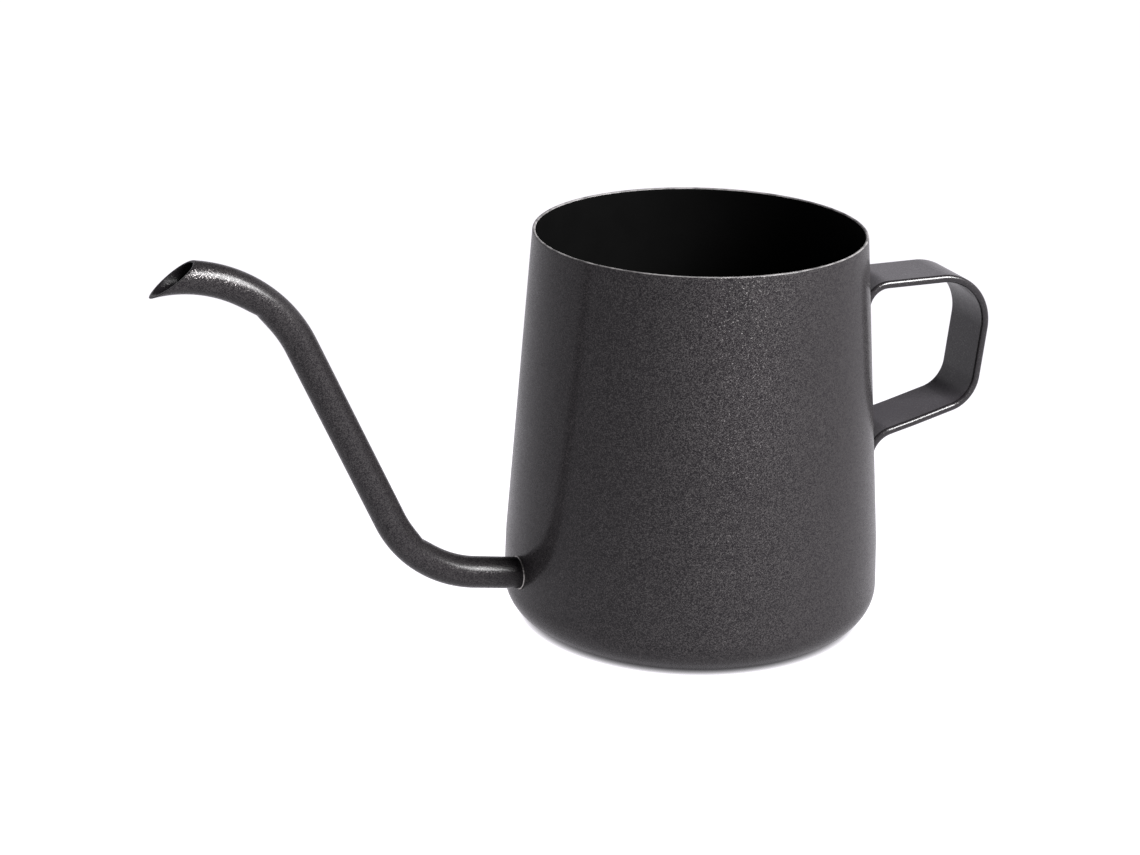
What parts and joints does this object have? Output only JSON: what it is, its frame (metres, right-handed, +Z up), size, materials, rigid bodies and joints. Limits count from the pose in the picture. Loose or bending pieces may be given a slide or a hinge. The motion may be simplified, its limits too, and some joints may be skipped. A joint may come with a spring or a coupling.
{
  "type": "gooseneck pour-over pot",
  "caption": "Small open-topped coffee drip pot: a tapered coated-steel cup with a long thin swan-neck spout cut at a slant and a flat bent strap handle.",
  "frame": {"origin": "centre of the base, on the table it stands on", "axes": "+Z up, the spout points along -X, the handle along +X, mirror plane Y = 0"},
  "size_m": [0.1947, 0.085, 0.0932],
  "materials": {
    "coated_body": "dark grey baked coating with fine metallic flecks, satin",
    "coated_spout": "the same fleck coating, slightly glossier on the tube",
    "bare_weld": "bare steel weld line",
    "coated_handle": "dark grey baked coating, satin and smooth"
  },
  "bodies": {
    "root": {"kettle_body": "coated_body", "spout_tube": "coated_spout", "spout_weld": "bare_weld", "handle_strap": "coated_handle"}
  },
  "joints": []
}
